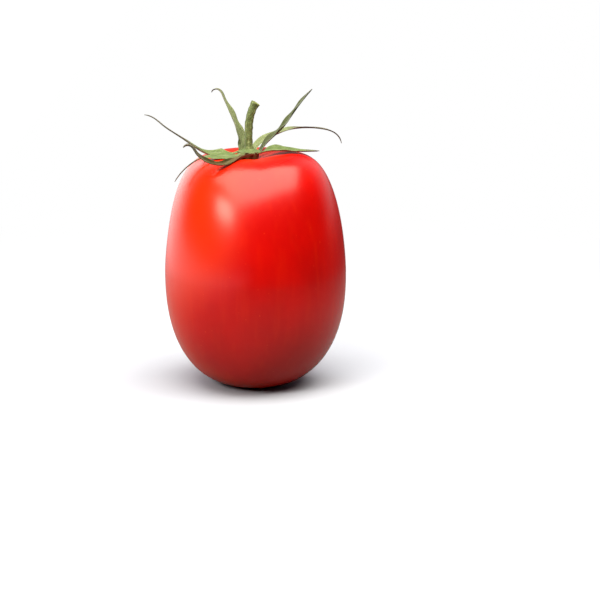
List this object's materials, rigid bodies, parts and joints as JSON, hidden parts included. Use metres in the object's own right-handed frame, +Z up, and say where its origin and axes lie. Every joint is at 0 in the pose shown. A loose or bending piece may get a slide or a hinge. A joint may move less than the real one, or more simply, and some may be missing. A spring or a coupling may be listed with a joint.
{
  "type": "plum tomato",
  "caption": "Ripe red plum tomato standing on its blossom end, with a short bent green stem and a calyx of narrow curling sepals in a hollow on its flat shoulder.",
  "frame": {"origin": "centre of the flat spot on the blossom end that the tomato stands on", "axes": "+Z up along the fruit's axis towards the stem; +X towards the side that the stem's end bends to; the fruit is seen with +Y away"},
  "size_m": [0.0656, 0.058, 0.0947],
  "materials": {
    "skin": "glossy, smooth ripe skin",
    "leaf": "matt green leaf with fine hairs, grey-brown dry tips",
    "stem": "matt green, finely ridged"
  },
  "bodies": {
    "root": {"fruit": "skin", "calyx_base": "leaf", "stem": "stem", "sepal_right": "leaf", "sepal_right_rising": "leaf", "sepal_right_arching": "leaf", "sepal_left_rising": "leaf", "sepal_left_long": "leaf", "sepal_left_drooping": "leaf", "sepal_front_curled": "leaf"}
  },
  "joints": []
}
